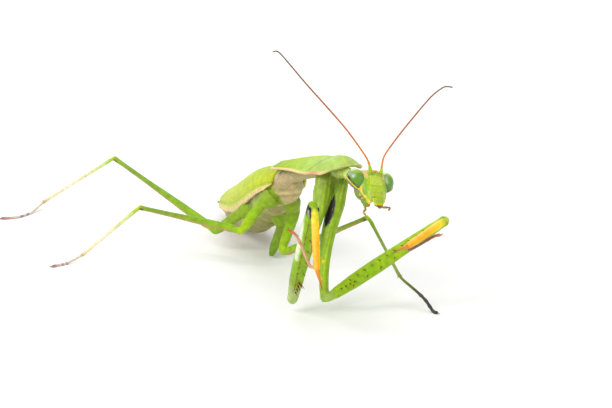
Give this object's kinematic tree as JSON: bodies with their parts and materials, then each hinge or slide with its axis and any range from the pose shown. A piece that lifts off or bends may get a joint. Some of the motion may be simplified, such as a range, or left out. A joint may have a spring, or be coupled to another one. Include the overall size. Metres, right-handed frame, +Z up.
{
  "type": "praying mantis",
  "caption": "Green praying mantis, a still life-size insect model that stands on its four walking legs with its grasping fore legs raised and half closed.",
  "frame": {"origin": "middle of the model's own box, at the level of the foot soles", "axes": "+Z up, the trunk and wing cases lie along Y with the head towards -Y, the animal's left side is +X"},
  "size_m": [0.0592, 0.0998, 0.0444],
  "materials": {
    "trunk": "satin",
    "belly": "satin",
    "wing": "satin",
    "small_feeler": "matt",
    "shield": "satin",
    "face": "satin",
    "eye": "glossy",
    "feeler": "matt",
    "fore_leg": "satin",
    "amber": "satin",
    "fore_toe": "satin",
    "leg": "satin",
    "toe": "satin"
  },
  "bodies": {
    "root": {"abdomen": "belly", "eye_left": "eye", "eye_right": "eye", "feeler_left": "feeler", "feeler_right": "feeler", "fore_coxa_left": "fore_leg", "fore_coxa_right": "fore_leg", "fore_femur_left": "fore_leg", "fore_femur_right": "fore_leg", "fore_tarsus_left": "fore_toe", "fore_tarsus_right": "fore_toe", "fore_tibia_left": "amber", "fore_tibia_right": "amber", "front_trunk": "trunk", "head": "face", "hind_left_coxa": "leg", "hind_left_femur": "leg", "hind_left_tarsus": "toe", "hind_left_tibia": "leg", "hind_right_coxa": "leg", "hind_right_femur": "leg", "hind_right_tarsus": "toe", "hind_right_tibia": "leg", "jaw_left": "face", "jaw_right": "face", "mid_left_coxa": "leg", "mid_left_femur": "leg", "mid_left_tarsus": "toe", "mid_left_tibia": "leg", "mid_right_coxa": "leg", "mid_right_femur": "leg", "mid_right_tarsus": "toe", "mid_right_tibia": "leg", "mouth_feeler_left": "small_feeler", "mouth_feeler_right": "small_feeler", "neck": "trunk", "neck_shield": "shield", "tail_feeler_left": "small_feeler", "tail_feeler_right": "small_feeler", "thorax": "trunk", "upper_lip": "face", "wing_case_left": "wing", "wing_case_right": "wing"}
  },
  "joints": []
}
